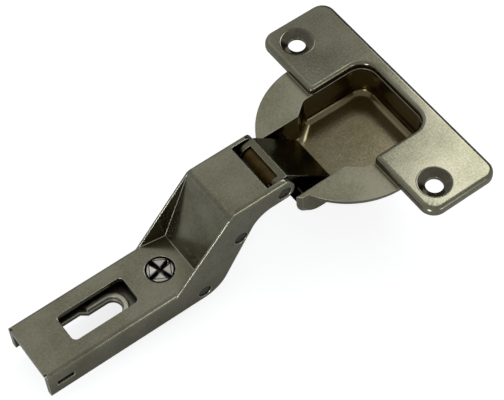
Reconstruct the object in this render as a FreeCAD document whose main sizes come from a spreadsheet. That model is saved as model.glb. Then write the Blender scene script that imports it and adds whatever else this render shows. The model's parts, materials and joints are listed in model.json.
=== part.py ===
"""Concealed cabinet hinge with a fully cranked arm, drawn open, in millimetres.

X runs from the arm's free end to the cup, Y across the hinge, Z up from the seat of the arm.
The origin is the fixing screw's place in the keyhole slot, on the seat.
"""
import FreeCAD, Part
import math
import os
import re
import Sketcher

doc = FreeCAD.newDocument("cranked_hinge")

# Driving dimensions, in millimetres unless the name says otherwise
SIZES = {
    # Arm: a channel pressed from one sheet
    "arm_width": 15.5,
    "arm_sheet": 1.3,
    "arm_rear": 20.6,
    "flat_top": 4.6,
    "wall_drop": 2.6,
    "bend_round": 1.0,
    "notch_depth": 0.6,
    "notch_inset": 0.5,
    "notch_width": 0.9,
    "window_rear": 11.3,
    "window_front": 5.0,
    "window_width": 7.3,
    "window_round": 1.2,
    # Crank: steep web between two straight-edged side walls
    "fin_foot": 12.2,
    "fold_reach": 6.2,
    "crank_run": 15.8,
    "crank_height": 16.4,
    "bend_run": 1.8,
    "bend_drop": 1.05,
    "fin_edge": 0.45,
    "fin_lean": 11.0,
    "top_length": 8.9,
    # Underside of the side walls
    "under_rear": 10.0,
    "under_front": 5.5,
    "under_low_round": 7.0,
    "under_high_round": 6.5,
    "ear_height": 5.6,
    "ear_nose": 2.5,
    "ear_low_round": 2.2,
    "ear_top_round": 3.0,
    # Pivots in the arm
    "front_pivot_reach": 3.5,
    "front_pivot_drop": 3.4,
    "rear_pivot_reach": 0.7,
    "rear_pivot_drop": 9.75,
    "anchor_reach": 6.4,
    "anchor_drop": 0.25,
    "pin_radius": 1.6,
    "pin_sink": 0.3,
    "sleeve_radius": 2.2,
    # Pivots in the cup, from the front pivot of the arm
    "link_reach": 11.0,
    "link_drop": 8.2,
    "cup_pivot_gap": 4.3,
    "cup_pivot_rise": 1.2,
    "cup_pin_radius": 1.1,
    # Outer link: a channel over the two outer pivots
    "outer_sheet": 1.2,
    "knuckle_radius": 2.4,
    "web_top_reach": 1.8,
    "web_top_rise": 3.0,
    "web_tip_reach": 2.4,
    "web_tip_rise": 0.7,
    "eye_radius": 1.75,
    "eye_round": 1.65,
    "neck_low": 1.4,
    "neck_run": 3.0,
    "neck_rise": 2.2,
    "link_round": 0.8,
    # Inner link: a solid bar over the two inner pivots
    "inner_width": 6.0,
    "inner_rear_radius": 2.4,
    "inner_front_radius": 1.8,
    # Closing spring: a bent strip hooked on the anchor pin
    "spring_sheet": 0.65,
    "spring_gap": 0.3,
    # Adjusting plate and screw
    "plate_gap": 0.25,
    "plate_sheet": 1.0,
    "plate_rear": 18.9,
    "plate_front": 3.0,
    "tab_length": 3.4,
    "tab_step": 0.2,
    "tab_sink": 0.7,
    "tab_rear": 18.2,
    "slot_radius": 2.2,
    "slot_wide": 6.6,
    "slot_step": 6.0,
    "slot_slant": 1.4,
    "slot_rear": 10.9,
    "rim_gap": 0.3,
    "rim_width": 1.1,
    "rim_height": 0.9,
    "screw_reach": 0.5,
    "screw_radius": 3.0,
    "screw_gap": 0.3,
    "screw_tip_radius": 2.0,
    "screw_tip_length": 0.9,
    "screw_edge": 0.45,
    "recess_width": 1.0,
    "recess_length": 5.0,
    "recess_depth": 2.2,
    # Cup: a drawn pocket under a screw flange and a round disc
    "cup_top_rise": 7.1,
    "hole_line_reach": 16.0,
    "hole_spacing": 48.0,
    "hole_radius": 2.0,
    "sink_radius": 3.7,
    "sink_depth": 1.1,
    "hole_boss": 5.6,
    "flange_length": 60.4,
    "flange_rear": 6.0,
    "flange_front": 12.7,
    "flange_height": 1.9,
    "flange_round": 3.4,
    "flange_edge": 1.2,
    "disc_offset": 4.7,
    "disc_radius": 19.8,
    "cup_sheet": 1.0,
    "cup_depth": 9.9,
    "pocket_width": 22.2,
    "pocket_front": 9.2,
    "pocket_round": 4.0,
    "shoulder_reach": 8.0,
    "shoulder_run": 3.5,
    "shoulder_round": 2.2,
    "throat_round": 0.8,
    "throat_gap": 0.6,
    "nose_overhang": 0.7,
    "nose_round": 6.5,
    "floor_round": 1.9,
    "shell_chamfer": 1.6,
    "rim_round": 0.9,
    # Fits
    "press_fit": 0.02,
    "running_fit": 0.05,
    "side_gap": 0.35,
}

sheet = doc.addObject("Spreadsheet::Sheet", "dims")
for row, (alias, value) in enumerate(SIZES.items(), start=1):
    sheet.set(f"A{row}", str(value))
    sheet.setAlias(f"A{row}", alias)
doc.recompute()

# Places worked out from the driving dimensions
TOP = "(flat_top + crank_height)"
CRANK_X = "(fin_foot + crank_run)"
TOP_END = f"({CRANK_X} + top_length)"
FRONT_X = f"({TOP_END} + front_pivot_reach)"
FRONT_Z = f"({TOP} - front_pivot_drop)"
REAR_X = f"({CRANK_X} + rear_pivot_reach)"
REAR_Z = f"({TOP} - rear_pivot_drop)"
ANCHOR_X = "(fin_foot + anchor_reach)"
ANCHOR_Z = "(0 - anchor_drop)"
EAR_X = f"({FRONT_X} + ear_nose)"
EAR_Z = f"({TOP} - ear_height)"
FOLD_X = "(fin_foot + fold_reach)"
BEND_X = f"({CRANK_X} - bend_run)"
BEND_Z = f"({TOP} - bend_drop)"
CREST = f"atan(({BEND_Z} - flat_top) / ({BEND_X} - fin_foot))"
ARM_INSIDE = "(arm_width - 2 * arm_sheet)"
LINK_WIDTH = f"({ARM_INSIDE} - 2 * side_gap)"
PLATE_WIDTH = f"({ARM_INSIDE} - 2 * plate_gap)"
THROAT_WIDTH = "(arm_width + 2 * throat_gap)"
OUTER_X = f"({FRONT_X} + link_reach)"
OUTER_Z = f"({FRONT_Z} - link_drop)"
INNER_X = f"({OUTER_X} - cup_pivot_gap)"
INNER_Z = f"({OUTER_Z} + cup_pivot_rise)"
HOLE_X = f"({OUTER_X} + hole_line_reach)"
CUP_TOP = f"({OUTER_Z} + cup_top_rise)"
DOOR_Z = f"({CUP_TOP} - flange_height)"
FLOOR_Z = f"({CUP_TOP} - cup_depth)"
NOSE_X = f"({HOLE_X} - disc_offset - disc_radius - nose_overhang)"
THROAT_OUTSIDE = f"({THROAT_WIDTH} + 2 * cup_sheet)"
SCREW_X = "(fin_foot + screw_reach)"


def bound(text):
    """Gives an expression in the sheet's aliases, from one in plain names."""
    return re.sub(r"\b[a-z_]\w*\b(?!\()", lambda word: "dims." + word.group(0), text)


def number(text):
    """Gives the present value of an expression in plain names."""
    return float(sheet.evalExpression(re.sub(r"\bdims\.", "", bound(text))))


def new_body(label):
    """Starts a sub-part."""
    body = doc.addObject("PartDesign::Body", label)
    body.Label = label
    return body


def new_sketch(body, name, role, offset, tilt=None):
    """Starts a sketch on one of the body's own planes, moved along its normal or tilted by an expression."""
    sketch = body.newObject("Sketcher::SketchObject", name)
    planes = [plane for plane in body.Origin.OriginFeatures if plane.Role == role]
    sketch.AttachmentSupport = [(planes[0], "")]
    sketch.MapMode = "FlatFace"
    if offset:
        sketch.setExpression("AttachmentOffset.Base.z", bound(offset))
    if tilt:
        turn = FreeCAD.Rotation(FreeCAD.Vector(-1, 0, 0), 1)
        sketch.AttachmentOffset = FreeCAD.Placement(FreeCAD.Vector(), turn)
        sketch.setExpression("AttachmentOffset.Rotation.Angle", bound(tilt))
    return sketch


def fix_point(sketch, geometry, end, corner):
    """Ties one point of a sketch to two expressions."""
    for kind, text in zip(("DistanceX", "DistanceY"), corner):
        rule = Sketcher.Constraint(kind, -1, 1, geometry, end, number(text))
        sketch.setExpression(f"Constraints[{sketch.addConstraint(rule)}]", bound(text))


def outline(body, name, role, corners, offset=None, tilt=None):
    """Draws a closed outline of straight lines through corners given as expressions."""
    sketch = new_sketch(body, name, role, offset, tilt)
    points = [FreeCAD.Vector(number(across), number(up), 0) for across, up in corners]
    count = len(points)
    for index in range(count):
        sketch.addGeometry(Part.LineSegment(points[index], points[(index + 1) % count]), False)
    for index in range(count):
        sketch.addConstraint(Sketcher.Constraint("Coincident", index, 2, (index + 1) % count, 1))
    for index, corner in enumerate(corners):
        fix_point(sketch, index, 1, corner)
    doc.recompute()
    return sketch


def circles(body, name, role, rounds, offset=None):
    """Draws circles, each given by the expressions of its centre and radius."""
    sketch = new_sketch(body, name, role, offset)
    for index, (across, up, radius) in enumerate(rounds):
        centre = FreeCAD.Vector(number(across), number(up), 0)
        sketch.addGeometry(Part.Circle(centre, FreeCAD.Vector(0, 0, 1), number(radius)), False)
        fix_point(sketch, index, 3, (across, up))
        rule = sketch.addConstraint(Sketcher.Constraint("Radius", index, number(radius)))
        sketch.setExpression(f"Constraints[{rule}]", bound(radius))
    doc.recompute()
    return sketch


def rectangle(rear, front, low, high):
    """Gives the four corners of a rectangle."""
    return [(rear, low), (front, low), (front, high), (rear, high)]


def mirrored(corners):
    """Closes half an outline with its mirror image across the first axis."""
    return corners + [(across, f"0 - {up}") for across, up in reversed(corners)]


def extrude(kind, body, name, sketch, length, both=False, reverse=False):
    """Adds or removes a straight extrusion, and makes sure that it changed the solid."""
    before = body.Shape.Volume if body.Tip else 0.0
    feature = body.newObject("PartDesign::" + kind, name)
    feature.Profile = sketch
    feature.setExpression("Length", bound(length))
    feature.Midplane = both
    feature.Reversed = reverse
    doc.recompute()
    change = body.Shape.Volume - before
    if (change > 0) != (kind == "Pad") or abs(change) < 1e-6:
        raise RuntimeError(f"{body.Label}: {name} changed the volume by {change:.4f}")
    return feature


def pad(body, name, sketch, length, both=False, reverse=False):
    """Adds material."""
    return extrude("Pad", body, name, sketch, length, both, reverse)


def pocket(body, name, sketch, length, both=False, reverse=False):
    """Removes material."""
    return extrude("Pocket", body, name, sketch, length, both, reverse)


def straight_edges(body, axis, places):
    """Finds the body's edges along one axis through any of the given places."""
    tip = body.Tip
    sides = [side for side in range(3) if side != axis]
    wanted = [tuple(number(text) for text in place) for place in places]
    found = []
    for index, edge in enumerate(tip.Shape.Edges, start=1):
        ends = [vertex.Point for vertex in edge.Vertexes]
        if len(ends) == 2 and any(
            all(abs(end[side] - place[slot]) < 1e-3 for end in ends for slot, side in enumerate(sides))
            for place in wanted
        ):
            found.append(f"Edge{index}")
    return found


def level_edges(body, level, test):
    """Finds the body's edges that lie at one height and pass a test on their middle."""
    height = number(level)
    found = []
    for index, edge in enumerate(body.Tip.Shape.Edges, start=1):
        box = edge.BoundBox
        if abs(box.ZMin - height) < 1e-3 and abs(box.ZMax - height) < 1e-3 and test(box.Center, edge):
            found.append(f"Edge{index}")
    return found


def dress(kind, body, name, edges, size):
    """Rounds or chamfers the edges that were found."""
    if not edges:
        raise RuntimeError(f"{body.Label}: no edges for {name}")
    feature = body.newObject("PartDesign::" + kind, name)
    feature.Base = (body.Tip, edges) if body.Tip is not feature else (feature.BaseFeature, edges)
    feature.setExpression("Radius" if kind == "Fillet" else "Size", bound(size))
    doc.recompute()
    if "Invalid" in feature.State or feature.Shape.isNull():
        raise RuntimeError(f"{body.Label}: {name} failed")
    return feature


def round_corners(body, name, axis, places, radius):
    """Rounds the straight edges along one axis at the given places."""
    return dress("Fillet", body, name, straight_edges(body, axis, places), radius)


def cut_round(body, name, across, up, radius, width):
    """Cuts a front top corner of a side outline to an arc."""
    sketch = new_sketch(body, name + "_corner", "XZ_Plane", None)
    ends = [(f"{across} - {radius}", up), (across, up), (across, f"{up} - {radius}")]
    points = [FreeCAD.Vector(number(end[0]), number(end[1]), 0) for end in ends]
    centre = FreeCAD.Vector(points[0].x, points[2].y, 0)
    circle = Part.Circle(centre, FreeCAD.Vector(0, 0, 1), number(radius))
    sketch.addGeometry(Part.LineSegment(points[0], points[1]), False)
    sketch.addGeometry(Part.LineSegment(points[1], points[2]), False)
    sketch.addGeometry(Part.ArcOfCircle(circle, 0, math.pi / 2), False)
    for first, last in (((0, 2), (1, 1)), ((1, 2), (2, 1)), ((2, 2), (0, 1))):
        sketch.addConstraint(Sketcher.Constraint("Coincident", *first, *last))
    for geometry, end, corner in ((0, 1, ends[0]), (1, 1, ends[1]), (1, 2, ends[2])):
        fix_point(sketch, geometry, end, corner)
    rule = sketch.addConstraint(Sketcher.Constraint("Radius", 2, number(radius)))
    sketch.setExpression(f"Constraints[{rule}]", bound(radius))
    doc.recompute()
    pocket(body, name, sketch, f"2 * {width}", both=True)


def cut_form(body, name, form):
    """Takes the shape of another body out of this one."""
    before = body.Shape.Volume
    cut = body.newObject("PartDesign::Boolean", name)
    cut.Type = "Cut"
    cut.setObjects([form])
    body.Tip = cut
    doc.recompute()
    if body.Shape.Volume >= before:
        raise RuntimeError(f"{body.Label}: {name} removed nothing")


def both_sides(across, up):
    """Gives a place and its mirror image across the middle of the hinge."""
    return [(across, up), (across, f"0 - {up}")]


def round_ended(action, body, name, rear, radius, level, depth):
    """Adds or removes a strip that ends in a half circle round the fixing screw's place."""
    strip = outline(body, name + "_strip", "XY_Plane", rectangle(rear, "0", f"0 - {radius}", radius), level)
    action(body, name + "_straight", strip, depth)
    end = circles(body, name + "_end", "XY_Plane", [("0", "0", radius)], level)
    action(body, name + "_round", end, depth)


def make_fin_form():
    """Form of the space between the crank's side walls, narrower towards the web."""
    body = new_body("fin_form")
    space = outline(body, "fin_space", "XZ_Plane", [
        ("fin_foot", "flat_top"),
        (FOLD_X, "flat_top"),
        (BEND_X, BEND_Z),
        ("fin_foot", BEND_Z),
    ])
    pad(body, "fin_block", space, "2 * arm_width", both=True)
    crest = f"(flat_top * cos({CREST}) - fin_foot * sin({CREST}))"
    side = "(arm_width / 2 - fin_edge)"
    for index, sign in enumerate(("", "0 - ")):
        lean = outline(body, f"fin_side_{index}", "YZ_Plane", [
            (f"{sign}{side}", f"{crest} + fold_reach"),
            (f"{sign}{side}", crest),
            (f"{sign}({side} - fold_reach * tan(fin_lean))", f"{crest} - fold_reach"),
            (f"{sign}2 * arm_width", f"{crest} - fold_reach"),
            (f"{sign}2 * arm_width", f"{crest} + fold_reach"),
        ], tilt=CREST)
        pocket(body, f"fin_slope_{index}", lean, "4 * crank_height", both=True)
    return body


def make_arm():
    """Cranked arm: side walls, web, window, screw hole, pin holes and slits for the plate's tabs."""
    body = new_body("hinge_arm")
    low = "0 - wall_drop"
    walls = outline(body, "walls", "XZ_Plane", [
        ("0 - arm_rear", low),
        ("fin_foot + under_rear", low),
        (f"{CRANK_X} + under_front", EAR_Z),
        (EAR_X, EAR_Z),
        (EAR_X, TOP),
        (CRANK_X, TOP),
        (BEND_X, BEND_Z),
        ("fin_foot", "flat_top"),
        ("0 - arm_rear", "flat_top"),
    ])
    pad(body, "wall_block", walls, "arm_width", both=True)
    side = "arm_width / 2"
    round_corners(body, "flat_bends", 0, [(side, "flat_top"), (f"0 - {side}", "flat_top")], "bend_round")
    round_corners(body, "top_bends", 0, [(side, TOP), (f"0 - {side}", TOP)], "bend_round")
    round_corners(body, "under_low", 1, [("fin_foot + under_rear", low)], "under_low_round")
    round_corners(body, "under_high", 1, [(f"{CRANK_X} + under_front", EAR_Z)], "under_high_round")
    round_corners(body, "ear_low", 1, [(EAR_X, EAR_Z)], "ear_low_round")
    cut_round(body, "ear_top", EAR_X, TOP, "ear_top_round", "arm_width")
    cut_form(body, "crank_recess", make_fin_form())
    lean = f"({BEND_Z} - flat_top) / ({BEND_X} - {FOLD_X})"
    shift = f"arm_sheet * sqrt(1 + 1 / ({lean})^2)"
    under = f"{TOP} - arm_sheet"
    cavity = outline(body, "cavity", "XZ_Plane", [
        ("0 - 2 * arm_rear", "0 - 2 * wall_drop"),
        ("0 - 2 * arm_rear", "flat_top - arm_sheet"),
        (f"{FOLD_X} + {shift} - arm_sheet / ({lean})", "flat_top - arm_sheet"),
        (f"{FOLD_X} + {shift} + ({under} - flat_top) / ({lean})", under),
        (TOP_END, under),
        (TOP_END, f"{TOP} + arm_sheet"),
        (f"{EAR_X} + arm_sheet", f"{TOP} + arm_sheet"),
        (f"{EAR_X} + arm_sheet", "0 - 2 * wall_drop"),
    ])
    pocket(body, "channel", cavity, ARM_INSIDE, both=True)
    for index, sign in enumerate(("", "0 - ")):
        notch = outline(body, f"notch_{index}", "XY_Plane", rectangle(
            "0 - 2 * arm_rear", "notch_depth - arm_rear",
            f"{sign}({side} - notch_inset)", f"{sign}({side} - notch_inset - notch_width)"), "flat_top")
        pocket(body, f"corner_notch_{index}", notch, "arm_sheet")
    window = outline(body, "window", "XY_Plane", rectangle(
        "0 - window_rear", "window_front", "0 - window_width / 2", "window_width / 2"), "flat_top")
    pocket(body, "slot_window", window, "arm_sheet")
    corners = both_sides("0 - window_rear", "window_width / 2")
    corners += both_sides("window_front", "window_width / 2")
    round_corners(body, "window_corners", 2, corners, "window_round")
    hole = circles(body, "screw_hole", "XY_Plane", [(SCREW_X, "0", "screw_radius + screw_gap")], "flat_top")
    pocket(body, "screw_bore", hole, "arm_sheet")
    pins = circles(body, "pin_holes", "XZ_Plane", [
        (FRONT_X, FRONT_Z, "pin_radius + press_fit"),
        (REAR_X, REAR_Z, "pin_radius + press_fit"),
        (ANCHOR_X, ANCHOR_Z, "pin_radius + press_fit"),
    ])
    pocket(body, "pin_bores", pins, "2 * arm_width", both=True)
    slit = outline(body, "tab_slits", "XZ_Plane", rectangle(
        "0 - tab_rear - side_gap", "tab_length - tab_rear + side_gap",
        "tab_step - side_gap", "plate_sheet + side_gap"))
    pocket(body, "tab_slots", slit, "2 * arm_width", both=True)
    return body


def make_plate():
    """Adjusting plate: a strip with a keyhole slot, a raised rim round it and two rear tabs."""
    body = new_body("adjusting_plate")
    half = f"{PLATE_WIDTH} / 2"
    strip = outline(body, "strip", "XY_Plane", rectangle(
        "0 - plate_rear", f"{SCREW_X} + plate_front", f"0 - {half}", half))
    pad(body, "strip_sheet", strip, "plate_sheet")
    tabs = outline(body, "tabs", "XY_Plane", rectangle(
        "0 - tab_rear", "tab_length - tab_rear",
        "tab_sink - arm_width / 2", "arm_width / 2 - tab_sink"), "tab_step")
    pad(body, "rear_tabs", tabs, "plate_sheet - tab_step")
    outer = "(slot_radius + rim_gap + rim_width)"
    inner = "(slot_radius + rim_gap)"
    top = "plate_sheet + rim_height"
    round_ended(pad, body, "rim", "slot_slant - slot_step", outer, "plate_sheet", "rim_height")
    round_ended(pocket, body, "rim_inside", "0 - slot_step", inner, top, "rim_height")
    round_ended(pocket, body, "slot", "0 - slot_step", "slot_radius", "plate_sheet", "plate_sheet")
    wide = "(slot_wide / 2)"
    entry = outline(body, "slot_wide_outline", "XY_Plane", mirrored([
        ("0 - slot_rear", wide),
        ("0 - slot_step", wide),
        ("slot_slant - slot_step", "slot_radius"),
    ]), "plate_sheet")
    pocket(body, "slot_entry", entry, "plate_sheet")
    return body


def make_screw():
    """Adjusting screw: a headless screw with a cross recess and a reduced tip on the plate."""
    body = new_body("adjusting_screw")
    shank = circles(body, "shank", "XY_Plane", [(SCREW_X, "0", "screw_radius")], "flat_top")
    pad(body, "screw_shank", shank, "flat_top - plate_sheet - screw_tip_length", reverse=True)
    tip = circles(body, "tip", "XY_Plane", [(SCREW_X, "0", "screw_tip_radius")], "plate_sheet")
    pad(body, "screw_tip", tip, "screw_tip_length")
    rims = level_edges(body, "flat_top", lambda middle, edge: True)
    dress("Chamfer", body, "screw_rim", rims, "screw_edge")
    arm = "recess_length / 2"
    blade = "recess_width / 2"
    for name, along, across in (("recess_along", arm, blade), ("recess_across", blade, arm)):
        cross = outline(body, name, "XY_Plane", rectangle(
            f"{SCREW_X} - {along}", f"{SCREW_X} + {along}", f"0 - {across}", across), "flat_top")
        pocket(body, name + "_cut", cross, "recess_depth")
    return body


def make_pin(label, across, up, radius, span):
    """Plain pin across the hinge."""
    body = new_body(label)
    shank = circles(body, label + "_shank", "XZ_Plane", [(across, up, radius)])
    pad(body, label + "_rod", shank, span, both=True)
    return body


def make_sleeve():
    """Sleeve on the front pin, seen in the gap of the knuckle."""
    body = new_body("pin_sleeve")
    round_bar = circles(body, "sleeve", "XZ_Plane", [
        (FRONT_X, FRONT_Z, "sleeve_radius"),
        (FRONT_X, FRONT_Z, "pin_radius + running_fit"),
    ])
    pad(body, "sleeve_tube", round_bar, f"{LINK_WIDTH} - 2 * outer_sheet - 2 * side_gap", both=True)
    return body


def make_outer_link():
    """Outer link: a channel whose web runs from the knuckle down into the cup."""
    body = new_body("outer_link")
    tip_x = f"{OUTER_X} + web_tip_reach"
    tip_z = f"{OUTER_Z} + web_tip_rise"
    top_x = f"{FRONT_X} + web_top_reach"
    top_z = f"{FRONT_Z} + web_top_rise"
    rear = f"{FRONT_X} - knuckle_radius"
    eye = f"{OUTER_X} - eye_radius"
    bottom = f"{OUTER_Z} - eye_radius"
    knuckle_low = f"{FRONT_Z} - knuckle_radius"
    knuckle_high = f"{FRONT_Z} + knuckle_radius"
    ears = outline(body, "ears", "XZ_Plane", [
        (top_x, top_z),
        (tip_x, tip_z),
        (f"{OUTER_X} + eye_radius", bottom),
        (eye, bottom),
        (eye, f"{OUTER_Z} + neck_low"),
        (f"{eye} - neck_run", f"{OUTER_Z} + neck_low + neck_rise"),
        (FRONT_X, knuckle_low),
        (rear, knuckle_low),
        (rear, knuckle_high),
    ])
    pad(body, "ear_block", ears, LINK_WIDTH, both=True)
    round_corners(body, "eye_corners", 1, [(f"{OUTER_X} + eye_radius", bottom), (eye, bottom)], "eye_round")
    knuckle = [(rear, knuckle_low), (rear, knuckle_high)]
    round_corners(body, "knuckle_corners", 1, knuckle, "knuckle_radius * 0.9")
    round_corners(body, "neck_corners", 1, [
        (f"{eye} - neck_run", f"{OUTER_Z} + neck_low + neck_rise"), (top_x, top_z)], "link_round")
    run = f"(({tip_x}) - ({top_x}))"
    fall = f"(({top_z}) - ({tip_z}))"
    length = f"sqrt({run}^2 + {fall}^2)"
    inset_x = f"outer_sheet * {fall} / {length}"
    inset_z = f"outer_sheet * {run} / {length}"
    hollow = outline(body, "hollow", "XZ_Plane", [
        (f"{top_x} - {inset_x} - {run} * 2", f"{top_z} - {inset_z} + {fall} * 2"),
        (f"{tip_x} - {inset_x} + {run}", f"{tip_z} - {inset_z} - {fall}"),
        (f"{top_x} - {run} * 2", f"{tip_z} - {inset_z} - {fall}"),
    ])
    pocket(body, "between_ears", hollow, f"{LINK_WIDTH} - 2 * outer_sheet", both=True)
    holes = circles(body, "pivot_holes", "XZ_Plane", [
        (FRONT_X, FRONT_Z, "pin_radius + running_fit"),
        (OUTER_X, OUTER_Z, "cup_pin_radius + running_fit"),
    ])
    pocket(body, "pivot_bores", holes, "2 * arm_width", both=True)
    return body


def make_inner_link():
    """Inner link: a bar with round ends, carrying the inner pin of the cup."""
    body = new_body("inner_link")
    rear = "inner_rear_radius"
    front = "inner_front_radius"
    bar = outline(body, "bar", "XZ_Plane", [
        (f"{REAR_X} - {rear}", f"{REAR_Z} - {rear}"),
        (f"{INNER_X} + {front}", f"{INNER_Z} - {front}"),
        (f"{INNER_X} + {front}", f"{INNER_Z} + {front}"),
        (f"{REAR_X} - {rear}", f"{REAR_Z} + {rear}"),
    ])
    pad(body, "bar_block", bar, "inner_width", both=True)
    round_corners(body, "front_end", 1, [
        (f"{INNER_X} + {front}", f"{INNER_Z} - {front}"),
        (f"{INNER_X} + {front}", f"{INNER_Z} + {front}")], f"{front} * 0.95")
    round_corners(body, "rear_end", 1, [
        (f"{REAR_X} - {rear}", f"{REAR_Z} - {rear}"),
        (f"{REAR_X} - {rear}", f"{REAR_Z} + {rear}")], f"{rear} * 0.95")
    holes = circles(body, "link_holes", "XZ_Plane", [
        (REAR_X, REAR_Z, "pin_radius + running_fit"),
        (INNER_X, INNER_Z, "cup_pin_radius + press_fit"),
    ])
    pocket(body, "link_bores", holes, "2 * inner_width", both=True)
    return body


def make_spring():
    """Closing spring: a strip curled round the anchor pin, its leg reaching to the inner link."""
    body = new_body("closing_spring")
    inside = "pin_radius + running_fit"
    curl = circles(body, "curl", "XZ_Plane", [
        (ANCHOR_X, ANCHOR_Z, f"{inside} + spring_sheet"),
        (ANCHOR_X, ANCHOR_Z, inside),
    ])
    pad(body, "curl_strip", curl, "inner_width", both=True)
    foot_x = f"{ANCHOR_X} + {inside}"
    end_x = f"{REAR_X} - inner_rear_radius - spring_gap"
    leg = outline(body, "leg", "XZ_Plane", [
        (foot_x, ANCHOR_Z),
        (f"{foot_x} + spring_sheet", ANCHOR_Z),
        (end_x, REAR_Z),
        (f"{end_x} - spring_sheet", REAR_Z),
    ])
    pad(body, "leg_strip", leg, "inner_width", both=True)
    return body


def pocket_plan(wall, rear):
    """Gives half of the pocket's plan, widened by a wall."""
    shoulder = f"{HOLE_X} - shoulder_reach"
    throat = f"({THROAT_WIDTH} / 2 + {wall})"
    wide = f"(pocket_width / 2 + {wall})"
    front = f"{HOLE_X} + pocket_front + {wall}"
    return [(rear, throat), (f"{shoulder} - shoulder_run", throat), (shoulder, wide), (front, wide)]


def make_cup():
    """Cup: screw flange, round disc and drawn pocket, pressed from one sheet."""
    body = new_body("hinge_cup")
    rear = f"{HOLE_X} - flange_rear"
    front = f"{HOLE_X} + flange_front"
    half = "flange_length / 2"
    plate = outline(body, "flange", "XY_Plane", rectangle(rear, front, f"0 - {half}", half), DOOR_Z)
    pad(body, "flange_plate", plate, "flange_height")
    corners = both_sides(rear, half) + both_sides(front, half)
    round_corners(body, "flange_corners", 2, corners, "flange_round")
    dress("Fillet", body, "flange_rim", level_edges(body, CUP_TOP, lambda middle, edge: True), "flange_edge")
    side = f"({half} - cup_sheet)"
    cut = "(flange_round - cup_sheet) * 0.6"
    under = outline(body, "flange_under", "XY_Plane", mirrored([
        (f"{rear} + cup_sheet", f"({side} - {cut})"),
        (f"{rear} + cup_sheet + {cut}", side),
        (f"{front} - cup_sheet - {cut}", side),
        (f"{front} - cup_sheet", f"({side} - {cut})"),
    ]), DOOR_Z)
    pocket(body, "flange_hollow", under, "flange_height - cup_sheet", reverse=True)
    seats = [(HOLE_X, f"{sign} * hole_spacing / 2", "hole_boss") for sign in ("1", "(0 - 1)")]
    bosses = circles(body, "hole_bosses", "XY_Plane", seats, DOOR_Z)
    pad(body, "hole_seats", bosses, "flange_height - cup_sheet")
    disc = circles(body, "disc", "XY_Plane", [(f"{HOLE_X} - disc_offset", "0", "disc_radius")], DOOR_Z)
    pad(body, "disc_sheet", disc, "cup_sheet", reverse=True)
    beyond = outline(body, "beyond_flange", "XY_Plane", rectangle(
        f"{front} - cup_sheet / 2", f"{front} + disc_radius", "0 - disc_radius", "disc_radius"), DOOR_Z)
    pocket(body, "disc_front", beyond, "cup_sheet")
    plan = mirrored(pocket_plan("cup_sheet", NOSE_X))
    shell = outline(body, "shell", "XY_Plane", plan, f"{FLOOR_Z} - cup_sheet")
    pad(body, "shell_block", shell, "cup_depth - flange_height + cup_sheet")
    return body


def make_pocket_form():
    """Punch that draws the pocket: its plan with round corners and a round bottom edge."""
    body = new_body("pocket_form")
    inside = pocket_plan("0", f"{NOSE_X} - cup_depth")
    plan = outline(body, "pocket_plan", "XY_Plane", mirrored(inside), FLOOR_Z)
    pad(body, "punch", plan, "2 * cup_depth")
    round_corners(body, "punch_front", 2, both_sides(*inside[3]), "pocket_round")
    round_corners(body, "punch_shoulder", 2, both_sides(*inside[2]), "shoulder_round")
    round_corners(body, "punch_throat", 2, both_sides(*inside[1]), "throat_round")
    rear = number(inside[0][0]) + 0.1
    edges = level_edges(body, FLOOR_Z, lambda middle, edge: middle.x > rear)
    dress("Fillet", body, "punch_bottom", edges, "floor_round")
    return body


def countersink(body, name, across):
    """Widens the top of a screw hole."""
    cone = body.newObject("PartDesign::SubtractiveCone", name)
    cone.setExpression("Radius1", bound("hole_radius"))
    cone.setExpression("Radius2", bound("sink_radius"))
    cone.setExpression("Height", bound("sink_depth"))
    cone.setExpression("Placement.Base.x", bound(HOLE_X))
    cone.setExpression("Placement.Base.y", bound(across))
    cone.setExpression("Placement.Base.z", bound(f"{CUP_TOP} - sink_depth"))
    doc.recompute()


def finish_cup(body):
    """Cuts the pocket and the holes in the cup, and rounds its edges."""
    outside = pocket_plan("cup_sheet", NOSE_X)
    bottom = f"{FLOOR_Z} - cup_sheet"
    round_corners(body, "shell_front", 2, both_sides(*outside[3]), "pocket_round + cup_sheet")
    round_corners(body, "shell_shoulder", 2, both_sides(*outside[2]), "shoulder_round + cup_sheet")
    round_corners(body, "shell_throat", 2, both_sides(*outside[1]), "throat_round")
    round_corners(body, "nose", 1, [(NOSE_X, bottom)], "nose_round")
    edges = level_edges(body, bottom, lambda middle, edge: abs(middle.y) > 0.1 or middle.x > number(HOLE_X))
    dress("Chamfer", body, "shell_bottom", edges, "shell_chamfer")
    cut_form(body, "pocket", make_pocket_form())
    mouth = number("pocket_width / 2") + 0.1
    skirt = number(f"{HOLE_X} - flange_rear") + 0.1
    front = number(f"{HOLE_X} + pocket_front") + 0.1
    rims = level_edges(body, CUP_TOP, lambda middle, edge: abs(middle.y) < mouth and skirt < middle.x < front)
    dress("Fillet", body, "mouth_rim", rims, "rim_round")
    holes = circles(body, "screw_holes", "XY_Plane", [
        (HOLE_X, f"{sign} * hole_spacing / 2", "hole_radius") for sign in ("1", "(0 - 1)")], CUP_TOP)
    pocket(body, "screw_bores", holes, "flange_height")
    for index, sign in enumerate(("1", "(0 - 1)")):
        countersink(body, f"countersink_{index}", f"{sign} * hole_spacing / 2")
    pins = circles(body, "cup_pin_holes", "XZ_Plane", [
        (OUTER_X, OUTER_Z, "cup_pin_radius + press_fit"),
    ])
    pocket(body, "cup_pin_bores", pins, f"2 * {THROAT_OUTSIDE}", both=True)
    return body


def check(bodies):
    """Stops if any object of the document failed, or a sub-part has no valid solid."""
    doc.recompute()
    for item in doc.Objects:
        if "Invalid" in item.State or "Error" in item.State:
            raise RuntimeError(f"{item.Label} failed: {item.State}")
    for body in bodies:
        shape = body.Shape
        if shape.isNull() or not shape.isValid() or not shape.Solids:
            raise RuntimeError(f"{body.Label} has no valid solid")


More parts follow.
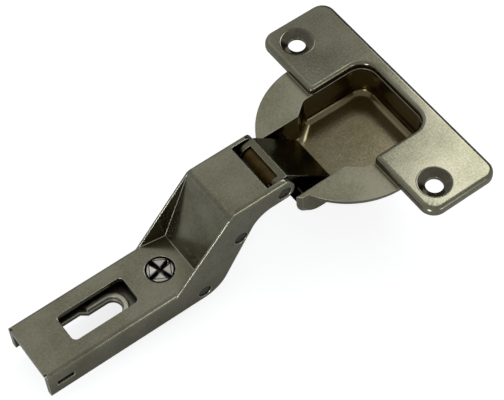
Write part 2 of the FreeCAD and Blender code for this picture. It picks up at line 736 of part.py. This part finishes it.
def main():
    """Builds every sub-part and writes one file for each."""
    arm_span = "arm_width - 2 * pin_sink"
    inner_span = f"{THROAT_WIDTH} - 2 * side_gap"
    bodies = [
        make_arm(),
        make_plate(),
        make_screw(),
        make_pin("front_arm_pin", FRONT_X, FRONT_Z, "pin_radius", arm_span),
        make_pin("rear_arm_pin", REAR_X, REAR_Z, "pin_radius", arm_span),
        make_pin("spring_anchor_pin", ANCHOR_X, ANCHOR_Z, "pin_radius", arm_span),
        make_sleeve(),
        make_outer_link(),
        make_inner_link(),
        make_spring(),
        finish_cup(make_cup()),
        make_pin("outer_cup_pin", OUTER_X, OUTER_Z, "cup_pin_radius", THROAT_OUTSIDE),
        make_pin("inner_cup_pin", INNER_X, INNER_Z, "cup_pin_radius", inner_span),
    ]
    check(bodies)
    os.makedirs("parts", exist_ok=True)
    for body in bodies:
        shape = body.Shape
        print(f"{body.Label}: {len(shape.Solids)} solid, {shape.Volume:.1f} mm3, {shape.BoundBox}")
        shape.exportStep(f"parts/{body.Label}.step")


main()
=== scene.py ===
"""Looks of the cranked cabinet hinge: finishes, a few turned pieces, studio light and the camera."""
import json
import math

import bmesh
import bpy
from mathutils import Euler, Matrix, Vector


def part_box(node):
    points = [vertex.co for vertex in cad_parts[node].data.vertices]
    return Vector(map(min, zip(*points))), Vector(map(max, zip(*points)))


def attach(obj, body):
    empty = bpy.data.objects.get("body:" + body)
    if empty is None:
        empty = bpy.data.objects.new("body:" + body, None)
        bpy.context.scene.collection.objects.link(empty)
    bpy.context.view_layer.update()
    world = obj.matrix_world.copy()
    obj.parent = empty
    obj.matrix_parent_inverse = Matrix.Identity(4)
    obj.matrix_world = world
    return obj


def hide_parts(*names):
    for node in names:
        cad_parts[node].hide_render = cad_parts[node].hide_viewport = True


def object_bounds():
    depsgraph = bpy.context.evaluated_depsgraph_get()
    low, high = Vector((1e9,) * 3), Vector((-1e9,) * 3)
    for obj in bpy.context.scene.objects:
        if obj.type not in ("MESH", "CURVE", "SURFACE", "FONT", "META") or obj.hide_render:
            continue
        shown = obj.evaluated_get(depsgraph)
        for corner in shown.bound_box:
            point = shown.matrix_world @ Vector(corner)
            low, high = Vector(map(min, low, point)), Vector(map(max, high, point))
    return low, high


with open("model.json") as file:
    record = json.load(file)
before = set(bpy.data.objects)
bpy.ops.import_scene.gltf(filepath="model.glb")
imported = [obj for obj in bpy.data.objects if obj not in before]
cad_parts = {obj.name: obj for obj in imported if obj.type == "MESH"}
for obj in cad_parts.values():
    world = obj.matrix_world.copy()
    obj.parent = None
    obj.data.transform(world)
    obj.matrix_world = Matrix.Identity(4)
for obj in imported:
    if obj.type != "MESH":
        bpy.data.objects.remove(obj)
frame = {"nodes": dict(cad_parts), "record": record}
cad_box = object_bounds()

MM = 0.001

# Camera, from the lines of the arm and the flange: place in millimetres, turn in degrees, lens and sensor
CAMERA_PLACE = (-67.80, -160.74, 294.83)
CAMERA_TURN = (33.814, 2.035, -36.163)
CAMERA_LENS = 114.5
CAMERA_SENSOR = 36.0

# Floor, in millimetres: its gap under the hinge's lowest edge, and its width
FLOOR_DROP = 4.0
FLOOR_SIZE = 4000.0
# The floor's own colour, and the white that it adds for the camera and for reflections
FLOOR_COLOUR = "#cdd0d3"
FLOOR_WHITE = 0.76
FLOOR_GLINT = 0.08

# Level of the room, and of its dark end, which draws a dark line on the flange's rounded edge
ROOM_LEVEL = 0.41
DARK_LEVEL = 0.04
DARK_SIDE = (0.85, 0.45, 0.2)
# How squarely a direction points at the dark end where the room starts to darken, and where it is darkest
DARK_START = 0.8
DARK_FULL = 0.93

# Lamps: the side each shines from, its width in millimetres and its power in watts
LAMP_DISTANCE = 700
LAMPS = {
    # Main light, whose reflection lies on the flange and the disc
    "soft_box": ((0.62, 0.24, 0.74), 300, 0.84),
    # Wide dim light over the arm
    "panel": ((0.0, 0.63, 0.78), 460, 0.13),
    # Small light for the edges of the crank's walls
    "edge_lamp": ((-0.82, -0.51, 0.27), 200, 1.0),
    # Small light for the arm's long bends
    "bend_lamp": ((0.29, -0.88, 0.36), 200, 0.28),
}

# Real speckle and grain are too fine to show, so both are drawn as coarse as they need to be
# Plate: its speckle's size in millimetres and share beside the clouds, and where their sum is dark and light
SPECK_SIZE = 0.5
SPECK_SHARE = 0.7
MOTTLE_DARK = 0.6
MOTTLE_LIGHT = 1.0
# Painted shade in the hollows: its search for walls, in millimetres, and how open a place is where it is full
# and where it ends
HOLLOW_REACH = 30.0
SHADE_FULL = 0.15
SHADE_END = 0.82
# Painted highlights on the edges: their tint and most share, and the cosine of the turn at which the
# highlight starts and is full
EDGE_HIGHLIGHT_TINT = "#cfcdbe"
HIGHLIGHT_SHARE = 0.85
HIGHLIGHT_START = 0.99
HIGHLIGHT_FULL = 0.88
# Grain: the span of its noise that the roughness follows, and the strength of its bump
GRAIN_LOW = 0.3
GRAIN_HIGH = 0.7
GRAIN_BUMP = 0.12
# Matt upper face of the disc: its height and span in millimetres, and the roughness that it adds
DISC_TOP = 14.6
MATT_SPAN = 0.2
MATT_ROUGH = 0.24

# Sleeve: the ripple's size and depth in millimetres, the strength of its bump, and where its tints lie
RIPPLE_SIZE = 1.2
RIPPLE_DEPTH = 0.05
RIPPLE_BUMP = 0.2
RIPPLE_DARK = 0.3
RIPPLE_LIGHT = 0.7

# Shading: facets this close, in millimetres, are joined, and folds above these degrees stay sharp
JOIN_GAP = 0.001
NODE_FOLD = 32.0
PIECE_FOLD = 40.0
# How strongly a large face levels the shading at its corners
LEVEL_WEIGHT = 100

# Face of the adjusting screw, in millimetres: half widths of the cross's arms at the middle and the rim
ARM_NEAR = 0.36
ARM_FAR = 0.55
# Depth and turn in degrees of the cross, rounding of a quarter, its root in the shank, and the shank's inset
CROSS_DEPTH = 1.9
CROSS_TURN = 14.0
PILLOW = 0.32
PILLOW_STEPS = 4
QUARTER_ROOT = 0.05
QUARTER_INSET = 0.15

# Countersinks in the flange, in millimetres: the cone's gap to the hole, its mouth and depth
SINK_GAP = 0.02
SINK_HIGH = 3.7
SINK_DEEP = 1.06
# Rolled lip: its width in millimetres, then shares of it: drop inside, rise of the crest, drop outside
LIP = 0.2
LIP_INSIDE = 0.55
LIP_CREST = 0.12
LIP_OUTSIDE = 0.06

# Sides of a turned piece
ROUND_SIDES = 64

WHITE = (1.0, 1.0, 1.0, 1.0)
BLACK = (0.0, 0.0, 0.0, 1.0)


def linear(code):
    """Turns an sRGB hex colour into linear values with full alpha."""
    shares = [int(code[place:place + 2], 16) / 255 for place in (1, 3, 5)]
    return tuple(s / 12.92 if s <= 0.04045 else ((s + 0.055) / 1.055) ** 2.4 for s in shares) + (1.0,)


def add_node(tree, kind, links=None, values=None, stops=None, **settings):
    """Adds a node with its settings, the values of its inputs, the stops of its ramp, and its links."""
    node = tree.nodes.new(kind)
    for name, value in settings.items():
        setattr(node, name, value)
    for name, value in (values or {}).items():
        node.inputs[name].default_value = value
    for place, (position, colour) in enumerate(stops or ()):
        node.color_ramp.elements[place].position = position
        node.color_ramp.elements[place].color = colour
    for name, source in (links or {}).items():
        tree.links.new(node.inputs[name], source)
    return node


def new_material(name):
    """Starts an empty node material and gives its tree and output."""
    material = bpy.data.materials.new(name)
    material.use_nodes = True
    tree = material.node_tree
    tree.nodes.clear()
    return material, tree, tree.nodes.new("ShaderNodeOutputMaterial")


def matt_level(tree, place, level_mm, rough):
    """Leaves the face at one height matt, as the press left it."""
    height = add_node(tree, "ShaderNodeSeparateXYZ", {"Vector": place})
    there = add_node(tree, "ShaderNodeMath", {0: height.outputs["Z"]},
                     {1: level_mm * MM, 2: MATT_SPAN * MM}, operation="COMPARE")
    matt = add_node(tree, "ShaderNodeMath", {0: there.outputs[0], 2: rough}, {1: MATT_ROUGH},
                    operation="MULTIPLY_ADD")
    return matt.outputs[0]


def plate_tint(tree, place, light, dark, cloud_mm):
    """Cloudy tint with a fine speckle, from a plating bath that takes unevenly."""
    cloud = add_node(tree, "ShaderNodeTexNoise", {"Vector": place},
                     {"Scale": 1 / (cloud_mm * MM), "Detail": 3.0})
    speck = add_node(tree, "ShaderNodeTexNoise", {"Vector": place},
                     {"Scale": 1 / (SPECK_SIZE * MM), "Detail": 4.0})
    mottle = add_node(tree, "ShaderNodeMath", {0: speck.outputs["Fac"], 2: cloud.outputs["Fac"]},
                      {1: SPECK_SHARE}, operation="MULTIPLY_ADD")
    tint = add_node(tree, "ShaderNodeValToRGB", {"Fac": mottle.outputs[0]},
                    stops=((MOTTLE_DARK, linear(dark)), (MOTTLE_LIGHT, linear(light))))
    return tint.outputs["Color"]


def paint_hollow_shade(tree, tint, shade_tint, shade_stop):
    """Painted shade that darkens the hollows towards a brown tint."""
    hollow = add_node(tree, "ShaderNodeAmbientOcclusion", values={"Distance": HOLLOW_REACH * MM}, samples=8)
    share = add_node(tree, "ShaderNodeValToRGB", {"Fac": hollow.outputs["AO"]},
                     stops=((SHADE_FULL, WHITE), (shade_stop, BLACK)))
    shaded = add_node(tree, "ShaderNodeMix", {"Factor": share.outputs["Color"], "A": tint},
                      {"B": linear(shade_tint)}, data_type="RGBA")
    return shaded.outputs["Result"]


def paint_edge_highlights(tree, tint, round_normal):
    """Painted highlights: light lines along the edges, where the rounded normal turns away from the face's.
    """
    face = add_node(tree, "ShaderNodeNewGeometry")
    turn = add_node(tree, "ShaderNodeVectorMath", {0: round_normal, 1: face.outputs["Normal"]},
                    operation="DOT_PRODUCT")
    highlight_mask = add_node(tree, "ShaderNodeMapRange", {"Value": turn.outputs["Value"]},
                   {"From Min": HIGHLIGHT_START, "From Max": HIGHLIGHT_FULL, "To Min": 0.0, "To Max": HIGHLIGHT_SHARE})
    highlighted = add_node(tree, "ShaderNodeMix", {"Factor": highlight_mask.outputs["Result"], "A": tint},
                      {"B": linear(EDGE_HIGHLIGHT_TINT)}, data_type="RGBA")
    return highlighted.outputs["Result"]


def metal_finish(name, light, dark, shade_tint, rough_span, edge_mm, cloud_mm, grain_mm, bump_mm,
                 shade_stop=SHADE_END, matt_mm=None):
    """Metal with a cloudy tint, painted shade in its hollows, painted highlights on its edges and a fine
    grain.
    """
    material, tree, output = new_material(name)
    place = add_node(tree, "ShaderNodeTexCoord").outputs["Object"]
    edge = add_node(tree, "ShaderNodeBevel", values={"Radius": edge_mm * MM}, samples=6)
    tint = plate_tint(tree, place, light, dark, cloud_mm)
    tint = paint_hollow_shade(tree, tint, shade_tint, shade_stop)
    tint = paint_edge_highlights(tree, tint, edge.outputs["Normal"])
    grain = add_node(tree, "ShaderNodeTexNoise", {"Vector": place},
                     {"Scale": 1 / (grain_mm * MM), "Detail": 2.0})
    rough = add_node(tree, "ShaderNodeMapRange", {"Value": grain.outputs["Fac"]}, {
        "From Min": GRAIN_LOW,
        "From Max": GRAIN_HIGH,
        "To Min": rough_span[0],
        "To Max": rough_span[1],
    }).outputs["Result"]
    if matt_mm:
        rough = matt_level(tree, place, matt_mm, rough)
    bump = add_node(tree, "ShaderNodeBump",
                    {"Height": grain.outputs["Fac"], "Normal": edge.outputs["Normal"]},
                    {"Strength": GRAIN_BUMP, "Distance": bump_mm * MM})
    skin = add_node(tree, "ShaderNodeBsdfPrincipled", {
        "Base Color": tint,
        "Roughness": rough,
        "Normal": bump.outputs["Normal"],
    }, {"Metallic": 1.0})
    tree.links.new(output.inputs["Surface"], skin.outputs["BSDF"])
    return material


def brown_moulding():
    """Moulded plastic with the faint ripple of its moulding."""
    material, tree, output = new_material("brown_acetal_moulding")
    place = add_node(tree, "ShaderNodeTexCoord").outputs["Object"]
    ripple = add_node(tree, "ShaderNodeTexNoise", {"Vector": place},
                      {"Scale": 1 / (RIPPLE_SIZE * MM), "Detail": 3.0})
    tint = add_node(tree, "ShaderNodeValToRGB", {"Fac": ripple.outputs["Fac"]},
                    stops=((RIPPLE_DARK, linear("#3e2e0a")), (RIPPLE_LIGHT, linear("#574315"))))
    bump = add_node(tree, "ShaderNodeBump", {"Height": ripple.outputs["Fac"]},
                    {"Strength": RIPPLE_BUMP, "Distance": RIPPLE_DEPTH * MM})
    skin = add_node(tree, "ShaderNodeBsdfPrincipled", {
        "Base Color": tint.outputs["Color"],
        "Normal": bump.outputs["Normal"],
    }, {"Roughness": 0.42, "IOR": 1.48, "Specular IOR Level": 0.2})
    tree.links.new(output.inputs["Surface"], skin.outputs["BSDF"])
    return material


def dress(material, *names):
    """Gives CAD nodes a finish, shades their curved faces smooth and keeps their flat faces level."""
    for name in names:
        node = frame["nodes"][name]
        node.data.materials.clear()
        node.data.materials.append(material)
        node.data.shade_smooth()
        weld = node.modifiers.new("joined_facets", "WELD")
        weld.merge_threshold = JOIN_GAP * MM
        split = node.modifiers.new("sharp_folds", "EDGE_SPLIT")
        split.split_angle = math.radians(NODE_FOLD)
        level = node.modifiers.new("level_faces", "WEIGHTED_NORMAL")
        level.weight = LEVEL_WEIGHT


def add_piece(name, shape, material, body):
    """Turns a finished shape into a smooth piece that rides on a body."""
    mesh = bpy.data.meshes.new(name)
    shape.to_mesh(mesh)
    shape.free()
    mesh.materials.append(material)
    mesh.shade_smooth()
    piece = bpy.data.objects.new(name, mesh)
    bpy.context.scene.collection.objects.link(piece)
    split = piece.modifiers.new("sharp_folds", "EDGE_SPLIT")
    split.split_angle = math.radians(PIECE_FOLD)
    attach(piece, body)
    return piece


def cut_quarter(screw, radius, level):
    """Cuts a disc to one quarter of the screw's face, between two flared arms of its cross recess."""
    disc = bmesh.ops.create_circle(screw, cap_ends=True, segments=ROUND_SIDES, radius=radius)["verts"]
    bmesh.ops.translate(screw, verts=disc, vec=(0.0, 0.0, level))
    corner = Vector((ARM_NEAR * MM, ARM_NEAR * MM, level))
    reach = math.sqrt(radius ** 2 - (ARM_FAR * MM) ** 2) - corner.x
    flare = (ARM_FAR - ARM_NEAR) * MM
    face = disc[0].link_faces[0]
    for side in ((-flare, reach, 0.0), (reach, -flare, 0.0)):
        around = [face, *face.edges, *face.verts]
        cut = bmesh.ops.bisect_plane(screw, geom=around, plane_co=corner, plane_no=side, clear_inner=True)
        face = [item for item in cut["geom"] if isinstance(item, bmesh.types.BMFace)][0]
    return face


def make_screw(material):
    """Adjusting screw with a deep cross recess: four pillowed quarters on a round shank."""
    low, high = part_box("adjusting_screw")
    centre = (low + high) / 2
    radius = (high.x - low.x) / 2
    shank_radius = radius - QUARTER_INSET * MM
    deck = high.z - CROSS_DEPTH * MM
    root = deck - QUARTER_ROOT * MM
    screw = bmesh.new()
    shank = bmesh.ops.create_cone(screw, cap_ends=True, segments=ROUND_SIDES, radius1=shank_radius,
                                  radius2=shank_radius, depth=deck - low.z)
    bmesh.ops.translate(screw, verts=shank["verts"], vec=(0.0, 0.0, (deck + low.z) / 2))
    rims = []
    for quarter in range(4):
        face = cut_quarter(screw, radius, root)
        turn = Matrix.Rotation(math.radians(90 * quarter + CROSS_TURN), 3, "Z")
        bmesh.ops.rotate(screw, verts=face.verts, cent=(0.0, 0.0, 0.0), matrix=turn)
        raised = bmesh.ops.extrude_face_region(screw, geom=[face])["geom"]
        rise = [item for item in raised if isinstance(item, bmesh.types.BMVert)]
        bmesh.ops.translate(screw, verts=rise, vec=(0.0, 0.0, high.z - root))
        top = [item for item in raised if isinstance(item, bmesh.types.BMFace)][0]
        rims.extend(top.edges)
    bmesh.ops.bevel(screw, geom=rims, offset=PILLOW * MM, offset_type="OFFSET", affect="EDGES",
                    segments=PILLOW_STEPS, profile=0.5, material=-1)
    bmesh.ops.translate(screw, verts=screw.verts, vec=(centre.x, centre.y, 0.0))
    bmesh.ops.recalc_face_normals(screw, faces=screw.faces)
    piece = add_piece("adjusting_screw_face", screw, material, "screw")
    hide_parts("adjusting_screw")


def make_countersink(name, side, material):
    """Turned countersink of a door screw: a polished cone with a rolled lip, on the flange's pressed one."""
    screws = [mount for mount in frame["record"]["mounts"] if mount["name"] == "door_screws"][0]
    across = side * screws["dims"]["spacing_y_mm"] / 2
    low = screws["dims"]["hole_r_mm"] + SINK_GAP
    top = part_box("hinge_cup")[1].z
    profile = (
        (low, SINK_DEEP),
        (SINK_HIGH - LIP, LIP * LIP_INSIDE),
        (SINK_HIGH, 0.0),
        (SINK_HIGH + LIP, -LIP * LIP_CREST),
        (SINK_HIGH + LIP * 2, LIP * LIP_OUTSIDE),
    )
    ring = bmesh.new()
    points = [ring.verts.new((out * MM, 0.0, top - down * MM)) for out, down in profile]
    edges = [ring.edges.new(pair) for pair in zip(points, points[1:])]
    bmesh.ops.spin(ring, geom=points + edges, cent=(0.0, 0.0, 0.0), axis=(0.0, 0.0, 1.0), angle=math.tau,
                   steps=ROUND_SIDES, use_merge=True)
    bmesh.ops.translate(ring, verts=ring.verts, vec=(screws["pos_m"][0], across * MM, 0.0))
    bmesh.ops.recalc_face_normals(ring, faces=ring.faces)
    # An open ring can come out facing down
    if sum(face.normal.z for face in ring.faces) < 0:
        bmesh.ops.reverse_faces(ring, faces=ring.faces)
    add_piece(name, ring, material, "cup")


def floor_finish():
    """Matt pale floor: white to the camera, with the hinge's shadow, and dimmer in reflections."""
    material, tree, output = new_material("pale_studio_floor")
    ray = add_node(tree, "ShaderNodeLightPath")
    pale = add_node(tree, "ShaderNodeBsdfDiffuse", values={"Color": linear(FLOOR_COLOUR)})
    clear = add_node(tree, "ShaderNodeMath",
                     {0: ray.outputs["Is Camera Ray"], 1: ray.outputs["Is Transmission Ray"]},
                     operation="MAXIMUM")
    bright = add_node(tree, "ShaderNodeMath", {0: clear.outputs[0]}, {1: FLOOR_WHITE}, operation="MULTIPLY")
    level = add_node(tree, "ShaderNodeMath", {0: ray.outputs["Is Glossy Ray"], 2: bright.outputs[0]},
                     {1: FLOOR_GLINT}, operation="MULTIPLY_ADD")
    white = add_node(tree, "ShaderNodeEmission", {"Strength": level.outputs[0]}, {"Color": WHITE})
    both = add_node(tree, "ShaderNodeAddShader", {0: pale.outputs[0], 1: white.outputs[0]})
    tree.links.new(output.inputs["Surface"], both.outputs[0])
    return material


def make_floor():
    """Floor under the hinge."""
    sheet = bmesh.new()
    bmesh.ops.create_grid(sheet, x_segments=1, y_segments=1, size=FLOOR_SIZE * MM / 2)
    bmesh.ops.translate(sheet, verts=sheet.verts, vec=(0.0, 0.0, cad_box[0].z - FLOOR_DROP * MM))
    mesh = bpy.data.meshes.new("floor")
    sheet.to_mesh(mesh)
    sheet.free()
    mesh.materials.append(floor_finish())
    floor = bpy.data.objects.new("floor", mesh)
    bpy.context.scene.collection.objects.link(floor)


def add_lamp(name, direction, size_mm, power):
    """Square soft lamp that looks at the hinge from a direction."""
    data = bpy.data.lights.new(name, "AREA")
    data.size = size_mm * MM
    data.energy = power
    lamp = bpy.data.objects.new(name, data)
    bpy.context.scene.collection.objects.link(lamp)
    target = (cad_box[0] + cad_box[1]) / 2
    aim = Vector(direction).normalized()
    lamp.location = target + aim * LAMP_DISTANCE * MM
    lamp.rotation_euler = aim.to_track_quat("Z", "Y").to_euler()


def make_light():
    """White world for the camera, an even room with one dark end for the rest, and the lamps."""
    world = bpy.data.worlds.new("studio")
    world.use_nodes = True
    tree = world.node_tree
    ray = add_node(tree, "ShaderNodeLightPath")
    seen = add_node(tree, "ShaderNodeMath",
                    {0: ray.outputs["Is Camera Ray"], 1: ray.outputs["Is Transmission Ray"]},
                    operation="MAXIMUM")
    side = add_node(tree, "ShaderNodeTexCoord")
    facing = add_node(tree, "ShaderNodeVectorMath", {0: side.outputs["Generated"]}, {1: DARK_SIDE},
                      operation="DOT_PRODUCT")
    room = add_node(tree, "ShaderNodeMapRange", {"Value": facing.outputs["Value"]}, {
        "From Min": DARK_START,
        "From Max": DARK_FULL,
        "To Min": ROOM_LEVEL,
        "To Max": DARK_LEVEL,
    })
    level = add_node(tree, "ShaderNodeMapRange", {"Value": seen.outputs[0], "To Min": room.outputs["Result"]},
                     {"To Max": 1.0})
    sky = tree.nodes["Background"]
    sky.inputs["Color"].default_value = WHITE
    tree.links.new(sky.inputs["Strength"], level.outputs["Result"])
    bpy.context.scene.world = world
    for name, (direction, size_mm, power) in LAMPS.items():
        add_lamp(name, direction, size_mm, power)


def make_camera():
    """Camera at the photograph's place."""
    data = bpy.data.cameras.new("camera")
    data.lens = CAMERA_LENS
    data.sensor_width = CAMERA_SENSOR
    camera = bpy.data.objects.new("camera", data)
    camera.location = Vector(CAMERA_PLACE) * MM
    camera.rotation_euler = Euler([math.radians(turn) for turn in CAMERA_TURN])
    bpy.context.scene.collection.objects.link(camera)
    bpy.context.scene.camera = camera


def dress_pressings():
    """Finishes of the arm, the links and the cup."""
    # Nickel plate on a pressing: grey-green satin in soft clouds, with brown painted shade in the folds and
    # painted highlights on the edges
    nickel = metal_finish("satin_nickel_plate", light="#92907d", dark="#757460", shade_tint="#4b3e22",
                          rough_span=(0.15, 0.23), edge_mm=0.4, cloud_mm=9.0, grain_mm=0.25, bump_mm=0.01,
                          shade_stop=0.87)
    dress(nickel, "hinge_arm")
    # The same plate in the pivots, darker all over as painted shade under the arm, and almost black with
    # painted shade where the links fold together
    shaded_link = metal_finish("nickel_link_painted_shade", light="#71705d", dark="#585746", shade_tint="#2e2613",
                         rough_span=(0.15, 0.23), edge_mm=0.3, cloud_mm=9.0, grain_mm=0.25, bump_mm=0.01,
                         shade_stop=0.95)
    dress(shaded_link, "outer_link", "inner_link")
    # The same plate on the drawn cup: brown painted shade in the pocket, and a matt disc that spreads its
    # highlight
    drawn = metal_finish("satin_nickel_cup", light="#92907d", dark="#757460", shade_tint="#705f38",
                         rough_span=(0.14, 0.22), edge_mm=0.28, cloud_mm=9.0, grain_mm=0.25, bump_mm=0.01,
                         shade_stop=0.95, matt_mm=DISC_TOP)
    dress(drawn, "hinge_cup")


def dress_small_parts():
    """Finishes of the pins, the plate, the screw, the spring and the sleeve."""
    # Cut steel pins: dull dark ends as painted shade of their recesses, with a painted highlight on the rim
    steel = metal_finish("steel_pin_painted_shade", light="#5f5e55", dark="#494840", shade_tint="#262217",
                         rough_span=(0.22, 0.34), edge_mm=0.35, cloud_mm=2.0, grain_mm=0.2, bump_mm=0.01)
    dress(steel, "front_arm_pin", "rear_arm_pin", "spring_anchor_pin", "outer_cup_pin", "inner_cup_pin")
    # Zinc plate: paler and duller than nickel, its pale colour partly painted light that lifts the keyhole's
    # rim, with dark painted shade under the window and a wide painted highlight on the rim
    zinc = metal_finish("zinc_plate", light="#dad8c4", dark="#c9c6b2", shade_tint="#262112",
                        rough_span=(0.3, 0.42), edge_mm=0.6, cloud_mm=4.0, grain_mm=0.25, bump_mm=0.01,
                        shade_stop=0.6)
    dress(zinc, "adjusting_plate", "adjusting_screw")
    # Zinc plate on the screw: pale dull quarters round a cross that is black with painted shade
    quarters = metal_finish("zinc_screw_face", light="#e2e0d6", dark="#cfcdc3", shade_tint="#121009",
                            rough_span=(0.38, 0.48), edge_mm=0.08, cloud_mm=2.0, grain_mm=0.2, bump_mm=0.005)
    make_screw(quarters)
    # Rolled spring strip: even dark grey, a little duller than the plate
    strip = metal_finish("spring_steel_strip", light="#62615e", dark="#555450", shade_tint="#2a2721",
                         rough_span=(0.25, 0.35), edge_mm=0.1, cloud_mm=4.0, grain_mm=0.25, bump_mm=0.01)
    dress(strip, "closing_spring")
    # Moulded acetal: warm brown, with a soft greasy sheen
    dress(brown_moulding(), "pin_sleeve")


def make_countersinks():
    """Countersinks of both door screws."""
    # Nickel on a smooth cone: glossy, and darker than the flange's plate as painted shade, with sharp glints
    # on the lip
    polish = metal_finish("polished_nickel_countersink", light="#757365", dark="#625f51", shade_tint="#272217",
                          rough_span=(0.09, 0.14), edge_mm=0.02, cloud_mm=3.0, grain_mm=0.2, bump_mm=0.003,
                          shade_stop=0.95)
    make_countersink("countersink_far", 1, polish)
    make_countersink("countersink_near", -1, polish)


def main():
    """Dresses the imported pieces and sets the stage."""
    dress_pressings()
    dress_small_parts()
    make_countersinks()
    make_floor()
    make_light()
    make_camera()
    bpy.context.scene.view_settings.view_transform = "Standard"


main()
